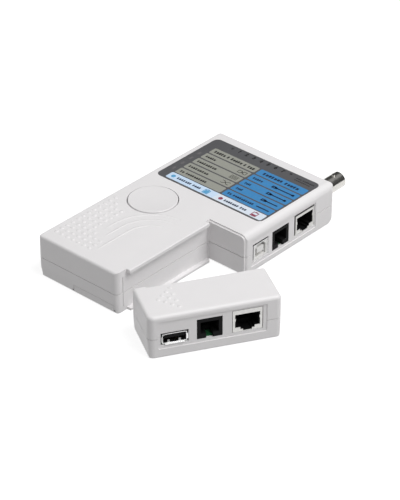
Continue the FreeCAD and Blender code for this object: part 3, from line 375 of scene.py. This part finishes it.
def ridge_path(radius, start):
    """Straight run along the handle, then an arc, as (x, y, across x, across y, share of the way)."""
    centre_x = CASE_LEFT + RIDGE_CENTRE[0]
    centre_y = CASE_FRONT + RIDGE_CENTRE[1]
    run = RIDGE_CENTRE[1] - start
    total = run + radius * RIDGE_SWEEP
    points = []
    for i in range(RUN_STEPS):
        along = run * i / RUN_STEPS
        points.append((centre_x - radius, CASE_FRONT + start + along, 1.0, 0.0, along / total))
    for i in range(ARC_STEPS + 1):
        turn = RIDGE_SWEEP * i / ARC_STEPS
        x = centre_x - radius * math.cos(turn)
        y = centre_y + radius * math.sin(turn)
        points.append((x, y, math.cos(turn), -math.sin(turn), (run + radius * turn) / total))
    return points


def ridges():
    """Low rounded ridges on the handle, which fade out at both ends."""
    mesh = bmesh.new()
    for radius, start in RIDGES:
        rows = []
        for x, y, across_x, across_y, share in ridge_path(radius, start):
            fade = min(1.0, share / RIDGE_FADE[0], (1 - share) / RIDGE_FADE[1])
            row = []
            for i in range(PROFILE_POINTS):
                side = 2 * i / (PROFILE_POINTS - 1) - 1
                rise = RIDGE_HEIGHT * fade * 0.5 * (1 + math.cos(math.pi * side))
                offset = side * RIDGE_WIDTH / 2
                place = (x + across_x * offset, y + across_y * offset, TOP_Z - RIDGE_SINK + rise)
                row.append(mesh.verts.new(place))
            rows.append(row)
        for before, after in zip(rows, rows[1:]):
            for i in range(PROFILE_POINTS - 1):
                mesh.faces.new((before[i], before[i + 1], after[i + 1], after[i])).smooth = True
            mesh.faces.new((before[0], after[0], after[-1], before[-1]))
        mesh.faces.new(rows[0][::-1])
        mesh.faces.new(rows[-1])
    bmesh.ops.recalc_face_normals(mesh, faces=mesh.faces)
    return finish_piece("handle_ridges", mesh, "tester", CASE)


ridges()


# ---- label print: places are millimetres from the film's near left corner ----
PRINT_THICK = 0.03
PRINT_LIFT = 0.002
ROWS = 5
ROW_PITCH = 7.17
ROW_HEIGHT = 6.1
FIRST_ROW_TOP = 43.25
LEFT_COLUMN = (6.7, 40.4)
RIGHT_COLUMN = (41.7, 76.1)
STATUS_BAR = (6.1, 76.1, 1.3, 7.7)
WINDOW_X = (2.75, 4.25)
WINDOW_LENGTH = 3.2
DIGIT_START = 19.7
DIGIT_PITCH = 5.35
DIGIT_Y = 48.4
DIGIT_SIZE = 3.3
DIGIT_BOLD = 0.24
DIGIT_COUNT = 8
TEXT_HEIGHT = 1.8
HEADING_HEIGHT = 2.3
WORD_SPACE = 0.7
BLOCK_WIDTHS = (0.62, 0.78, 0.78)
BLOCK_HEIGHTS = (1.0, 0.84, 0.92)

BEIGE_INK = printed("beige_ink", (0.318, 0.322, 0.283))
BLUE_INK = printed("blue_ink", (0.043, 0.234, 0.515))
PALE_INK = printed("pale_ink", (0.60, 0.75, 0.93))
WHITE_INK = printed("white_ink", (0.72, 0.79, 0.88))
BLACK_INK = printed("black_ink", (0.006, 0.006, 0.006))
NAVY_INK = printed("navy_ink", (0.003, 0.014, 0.05))
SKY_INK = printed("sky_ink", (0.10, 0.36, 0.62))
MAROON_INK = printed("maroon_ink", (0.30, 0.05, 0.09))
SMOKE_INK = printed("smoke_ink", (0.150, 0.145, 0.150), 0.25)


def row_span(row):
    """Lowest and highest edge of a printed row."""
    top = FIRST_ROW_TOP - ROW_PITCH * row
    return top - ROW_HEIGHT, top


def row_middle(row):
    """Height of a printed row's middle line."""
    return sum(row_span(row)) / 2


def slab(mesh, outline, layer=1):
    """Thin printed shape over a closed outline, stacked on the film by layers."""
    z = TOP_Z + PRINT_THICK * (layer - 1) + PRINT_LIFT
    top = [mesh.verts.new((FILM.x + x, FILM.y + y, z + PRINT_THICK)) for x, y in outline]
    foot = [mesh.verts.new((FILM.x + x, FILM.y + y, z)) for x, y in outline]
    mesh.faces.new(top)
    mesh.faces.new(foot[::-1])
    for i in range(len(outline)):
        after = (i + 1) % len(outline)
        mesh.faces.new((foot[i], foot[after], top[after], top[i]))


def rounded(x, y, radius, steps=5):
    """Outline of a rounded rectangle."""
    points = []
    centres = ((x[1] - radius, y[1] - radius), (x[0] + radius, y[1] - radius),
               (x[0] + radius, y[0] + radius), (x[1] - radius, y[0] + radius))
    for quarter, (cx, cy) in enumerate(centres):
        for i in range(steps + 1):
            turn = math.pi / 2 * (quarter + i / steps)
            points.append((cx + radius * math.cos(turn), cy + radius * math.sin(turn)))
    return points


def disc(x, y, radius, sides=24):
    """Outline of a round spot."""
    turns = [2 * math.pi * i / sides for i in range(sides)]
    return [(x + radius * math.cos(turn), y + radius * math.sin(turn)) for turn in turns]


def stroke(x0, y0, x1, y1, width):
    """Outline of a straight line of a given width."""
    along = Vector((x1 - x0, y1 - y0)).normalized()
    side = Vector((-along.y, along.x)) * width / 2
    return [(x0 + side.x, y0 + side.y), (x0 - side.x, y0 - side.y),
            (x1 - side.x, y1 - side.y), (x1 + side.x, y1 + side.y)]


def frame_outline(x, y, width):
    """Four strokes round a rectangle."""
    half = width / 2
    return [
        stroke(x[0] - half, y[0], x[1] + half, y[0], width),
        stroke(x[0] - half, y[1], x[1] + half, y[1], width),
        stroke(x[0], y[0], x[0], y[1], width),
        stroke(x[1], y[0], x[1], y[1], width),
    ]


def greek(x, y, width, height, words):
    """Stand-in for a line of words: a run of small blocks, with a space between words."""
    blocks = []
    cells = sum(words) + WORD_SPACE * (len(words) - 1)
    cell = width / cells
    for word in words:
        for letter in range(word):
            wide = cell * BLOCK_WIDTHS[letter % 3]
            tall = height * BLOCK_HEIGHTS[letter % 3]
            blocks.append([(x, y - height / 2), (x + wide, y - height / 2),
                           (x + wide, y - height / 2 + tall), (x, y - height / 2 + tall)])
            x += cell
        x += WORD_SPACE * cell
    return blocks


def print_piece(name, outlines, material, layer=1):
    """One printed colour of the label."""
    mesh = bmesh.new()
    for outline in outlines:
        slab(mesh, outline, layer)
    bmesh.ops.recalc_face_normals(mesh, faces=mesh.faces)
    return finish_piece(name, mesh, "tester", material)


def row_panels(column):
    """Rounded panels of one column."""
    return [rounded(column, row_span(row), 0.9) for row in range(ROWS)]


def left_column_text():
    """Word stand-ins of the left column: a bold heading and four row names."""
    lines = [(0, 8.9, 30.0, HEADING_HEIGHT, (5, 1, 5, 1, 3))]
    names = ((5,), (9,), (9,), (2, 10))
    widths = (7.5, 14.3, 14.6, 19.6)
    lines += [(row + 1, 8.6, widths[row], TEXT_HEIGHT, names[row]) for row in range(4)]
    blocks = []
    for row, x, width, height, words in lines:
        blocks += greek(x, row_middle(row), width, height, words)
    return blocks


def right_column_text():
    """Word stand-ins of the right column."""
    lines = [(0, 45.4, 26.0, HEADING_HEIGHT, (7, 5))]
    names = ((5,), (4,), (4,), (2, 10))
    widths = (7.1, 4.6, 4.6, 18.9)
    lines += [(row + 1, 44.0, widths[row], TEXT_HEIGHT, names[row]) for row in range(4)]
    blocks = []
    for row, x, width, height, words in lines:
        blocks += greek(x, row_middle(row), width, height, words)
    return blocks


def pair_icons():
    """Signs at the right of the left column's rows: joined boxes, straight pairs and crossed pairs."""
    left, right = 32.9, 38.6
    thin = 0.34
    shapes = []
    y = row_middle(1)
    shapes += frame_outline((left, left + 2.2), (y - 1.2, y + 1.2), thin)
    shapes += frame_outline((right - 2.2, right), (y - 1.2, y + 1.2), thin)
    shapes.append(stroke(left + 2.2, y + 0.5, right - 2.2, y - 0.5, thin))
    shapes.append(stroke(left + 2.2, y - 0.5, right - 2.2, y + 0.5, thin))
    y = row_middle(2)
    for offset in (-1.5, -0.5, 0.5, 1.5):
        shapes.append(stroke(left, y + offset, right, y + offset, thin))
    y = row_middle(3)
    for offset in (-1.3, 1.3):
        shapes.append(stroke(left, y + offset, left + 1.5, y + offset, thin))
        shapes.append(stroke(right - 1.5, y + offset, right, y + offset, thin))
        shapes.append(stroke(left + 1.5, y + offset, right - 1.5, y - offset, thin))
    return shapes


def cable_icons():
    """Signs at the right of the right column's rows: a plug on a cable, shorter from row to row."""
    end = 73.7
    cable = 0.95
    collar = 1.7
    shapes = []
    for row, start in ((1, 58.2), (2, 60.4), (3, 62.5)):
        y = row_middle(row)
        shapes.append(stroke(start + 2.2, y, end, y, cable))
        shapes += frame_outline((start, start + 1.9), (y - 0.7, y + 0.7), 0.8)
        shapes.append(stroke(start + 1.9, y, start + 3.4, y, collar))
    for row in (1, 2):
        y = row_middle(row)
        shapes.append(stroke(end - 1.6, y, end, y, collar))
    y = row_middle(4)
    shapes.append(stroke(64.6, y, end, y, cable))
    return shapes


def battery_icon(x, y, level):
    """Upright cell sign with a filled part."""
    shapes = frame_outline((x - 1.7, x + 1.7), (y - 2.0, y + 1.6), 0.5)
    shapes.append(stroke(x - 0.7, y + 2.0, x + 0.7, y + 2.0, 0.6))
    shapes.append(rounded((x - 1.3, x + 1.3), (y - 1.7, y - 1.7 + 3.0 * level), 0.15, 1))
    return shapes


def digits():
    """Numbers 1 to 8 over the lamps, and a ground sign before them."""
    mesh = bmesh.new()
    for i in range(DIGIT_COUNT):
        text = bpy.data.curves.new(f"digit_{i + 1}", "FONT")
        text.body = str(i + 1)
        text.size = DIGIT_SIZE * MM
        text.align_x = "CENTER"
        text.offset = DIGIT_BOLD * MM
        holder = bpy.data.objects.new(f"digit_{i + 1}", text)
        bpy.context.scene.collection.objects.link(holder)
        bpy.context.view_layer.update()
        graph = bpy.context.evaluated_depsgraph_get()
        flat = bpy.data.meshes.new_from_object(holder.evaluated_get(graph))
        x = FILM.x + DIGIT_START + DIGIT_PITCH * i
        place = Matrix.Translation((x, FILM.y + DIGIT_Y, TOP_Z + PRINT_LIFT))
        flat.transform(place @ Matrix.Scale(1 / MM, 4))
        mesh.from_mesh(flat)
        bpy.data.objects.remove(holder)
        bpy.data.meshes.remove(flat)
    rise = bmesh.ops.extrude_face_region(mesh, geom=mesh.faces[:])
    tops = [item for item in rise["geom"] if isinstance(item, bmesh.types.BMVert)]
    bmesh.ops.translate(mesh, verts=tops, vec=(0, 0, PRINT_THICK))
    ground_x = DIGIT_START - DIGIT_PITCH
    for step in range(3):
        half = 1.05 - 0.35 * step
        y = DIGIT_Y + 1.3 - 0.6 * step
        slab(mesh, stroke(ground_x - half, y, ground_x + half, y, 0.32))
    slab(mesh, stroke(ground_x, DIGIT_Y + 1.4, ground_x, DIGIT_Y + 2.3, 0.32))
    bmesh.ops.recalc_face_normals(mesh, faces=mesh.faces)
    return finish_piece("print_digits", mesh, "tester", BLACK_INK)


def lamp_windows():
    """Faint windows in the film over the row lamps."""
    half = WINDOW_LENGTH / 2
    windows = []
    for row in range(1, ROWS):
        middle = row_middle(row)
        windows.append(rounded(WINDOW_X, (middle - half, middle + half), 0.5))
    return windows


BAR_MIDDLE = 41.0
LEFT_MARK = (9.5, 4.5)
RIGHT_MARK = (44.9, 4.3)

print_piece("print_left_panels", row_panels(LEFT_COLUMN), BEIGE_INK)
print_piece("print_right_panels", row_panels(RIGHT_COLUMN), BLUE_INK)
print_piece("print_status_bar", [rounded(STATUS_BAR[:2], STATUS_BAR[2:], 1.1)], WHITE_INK)
print_piece("print_status_tint", [rounded((STATUS_BAR[0], BAR_MIDDLE), STATUS_BAR[2:], 1.1)], PALE_INK, 2)
print_piece("print_left_words", left_column_text() + pair_icons(), BLACK_INK, 2)
print_piece("print_right_words", right_column_text() + cable_icons(), NAVY_INK, 2)
status_words = greek(12.6, LEFT_MARK[1], 17.6, 1.8, (7, 4)) + greek(47.6, RIGHT_MARK[1], 16.2, 1.8, (7, 3))
print_piece("print_status_words", status_words, NAVY_INK, 3)
print_piece("print_full_mark", [disc(*LEFT_MARK, 1.35)] + battery_icon(34.3, 4.5, 0.95), SKY_INK, 3)
print_piece("print_low_mark", [disc(*RIGHT_MARK, 1.35)] + battery_icon(69.7, 4.4, 0.45), MAROON_INK, 3)
corner_words = greek(62.4, 48.9, 13.0, 1.0, (3, 7)) + greek(62.4, 46.9, 11.2, 0.8, (9,))
print_piece("print_corner_words", corner_words, BLACK_INK)
print_piece("print_lamp_windows", lamp_windows(), SMOKE_INK)
digits()


# ---- studio ----
FLOOR_SIZE = 6.0
FLOOR_DROP = 0.0002
FLOOR_GREYS = (0.40, 0.41)
FLOOR_GLOW = 0.78
LIGHT_DISTANCE = 1.6
LIGHT_SIZE = 1.1
KEY_TOWARDS = Vector((0.362, 0.12, 0.6))
KEY_WATTS = 21.4
FILL_TOWARDS = Vector((-1.0, -0.1, 0.3))
FILL_WATTS = 3.6
SKY_ABOVE = 0.42
SKY_LEVEL = 0.33
SKY_BELOW = 0.46
SCREEN_LEVEL = 0.2
SCREEN_EDGE = (0.40, 0.56)
SCREEN_TOP = (0.62, 0.72)


def studio_floor():
    """Plain white floor that glows a little, so that shadows on it stay faint."""
    mesh = bpy.data.meshes.new("floor")
    half = FLOOR_SIZE / 2
    plan = ((-half, -half), (half, -half), (half, half), (-half, half))
    mesh.from_pydata([(x, y, -FLOOR_DROP) for x, y in plan], [], [(0, 1, 2, 3)])
    material, tree, shader = new_material("floor_look")
    first, second = [(grey, grey, grey) for grey in FLOOR_GREYS]
    tint(tree, noise(tree, 300.0), shader.inputs["Base Color"], first, second)
    shader.inputs["Roughness"].default_value = 0.9
    shader.inputs["Specular IOR Level"].default_value = 0.1
    shader.inputs["Emission Color"].default_value = (1, 1, 1, 1)
    shader.inputs["Emission Strength"].default_value = FLOOR_GLOW
    mesh.materials.append(material)
    floor = bpy.data.objects.new("floor", mesh)
    floor.visible_diffuse = False
    bpy.context.scene.collection.objects.link(floor)


def area_light(name, towards, watts):
    """Square soft light that looks at the object."""
    data = bpy.data.lights.new(name, "AREA")
    data.size = LIGHT_SIZE
    data.energy = watts
    lamp = bpy.data.objects.new(name, data)
    bpy.context.scene.collection.objects.link(lamp)
    direction = towards.normalized()
    lamp.location = direction * LIGHT_DISTANCE
    lamp.rotation_euler = direction.to_track_quat("Z", "Y").to_euler()


def surroundings():
    """Grey-white studio, darker at eye level, with a dark screen low down at the far side."""
    world = bpy.data.worlds.new("studio")
    world.use_nodes = True
    tree = world.node_tree
    background = tree.nodes["Background"]
    place = tree.nodes.new("ShaderNodeTexCoord")
    apart = tree.nodes.new("ShaderNodeSeparateXYZ")
    share = tree.nodes.new("ShaderNodeMapRange")
    share.inputs["From Min"].default_value = -1.0
    ramp = tree.nodes.new("ShaderNodeValToRGB")
    ramp.color_ramp.elements[0].color = (SKY_BELOW, SKY_BELOW, SKY_BELOW, 1)
    ramp.color_ramp.elements[1].color = (SKY_ABOVE, SKY_ABOVE, SKY_ABOVE, 1)
    level = ramp.color_ramp.elements.new(0.5)
    level.color = (SKY_LEVEL, SKY_LEVEL, SKY_LEVEL, 1)
    tree.links.new(place.outputs["Generated"], apart.inputs["Vector"])
    tree.links.new(apart.outputs["Z"], share.inputs["Value"])
    tree.links.new(share.outputs["Result"], ramp.inputs["Fac"])
    beside = tree.nodes.new("ShaderNodeMapRange")
    beside.inputs["From Min"].default_value = SCREEN_EDGE[0]
    beside.inputs["From Max"].default_value = SCREEN_EDGE[1]
    beside.inputs["To Min"].default_value = 1.0
    beside.inputs["To Max"].default_value = SCREEN_LEVEL
    over = tree.nodes.new("ShaderNodeMapRange")
    over.inputs["From Min"].default_value = SCREEN_TOP[0]
    over.inputs["From Max"].default_value = SCREEN_TOP[1]
    lit = tree.nodes.new("ShaderNodeMath")
    lit.operation = "MAXIMUM"
    dim = tree.nodes.new("ShaderNodeVectorMath")
    dim.operation = "SCALE"
    tree.links.new(apart.outputs["Y"], beside.inputs["Value"])
    tree.links.new(apart.outputs["Z"], over.inputs["Value"])
    tree.links.new(beside.outputs["Result"], lit.inputs[0])
    tree.links.new(over.outputs["Result"], lit.inputs[1])
    tree.links.new(ramp.outputs["Color"], dim.inputs[0])
    tree.links.new(lit.outputs["Value"], dim.inputs["Scale"])
    tree.links.new(dim.outputs["Vector"], background.inputs["Color"])
    bpy.context.scene.world = world


studio_floor()
area_light("key", KEY_TOWARDS, KEY_WATTS)
area_light("fill", FILL_TOWARDS, FILL_WATTS)
surroundings()
bpy.context.scene.view_settings.view_transform = "Standard"

# ---- camera ----
SENSOR = 36.0
FOCAL_LENGTH = 167.7456
LENS_SHIFT = (-0.0018, 0.0412)
NEAREST = 0.01
EYE = Vector((728.7, -803.3, 702.6))
TARGET = Vector((20.3, -13.6, 0.0))

camera_data = bpy.data.cameras.new("camera")
camera_data.sensor_width = SENSOR
camera_data.lens = FOCAL_LENGTH
camera_data.shift_x, camera_data.shift_y = LENS_SHIFT
camera_data.clip_start = NEAREST
camera = bpy.data.objects.new("camera", camera_data)
camera.location = EYE * MM
camera.rotation_euler = (EYE - TARGET).to_track_quat("Z", "Y").to_euler()
bpy.context.scene.collection.objects.link(camera)
bpy.context.scene.camera = camera
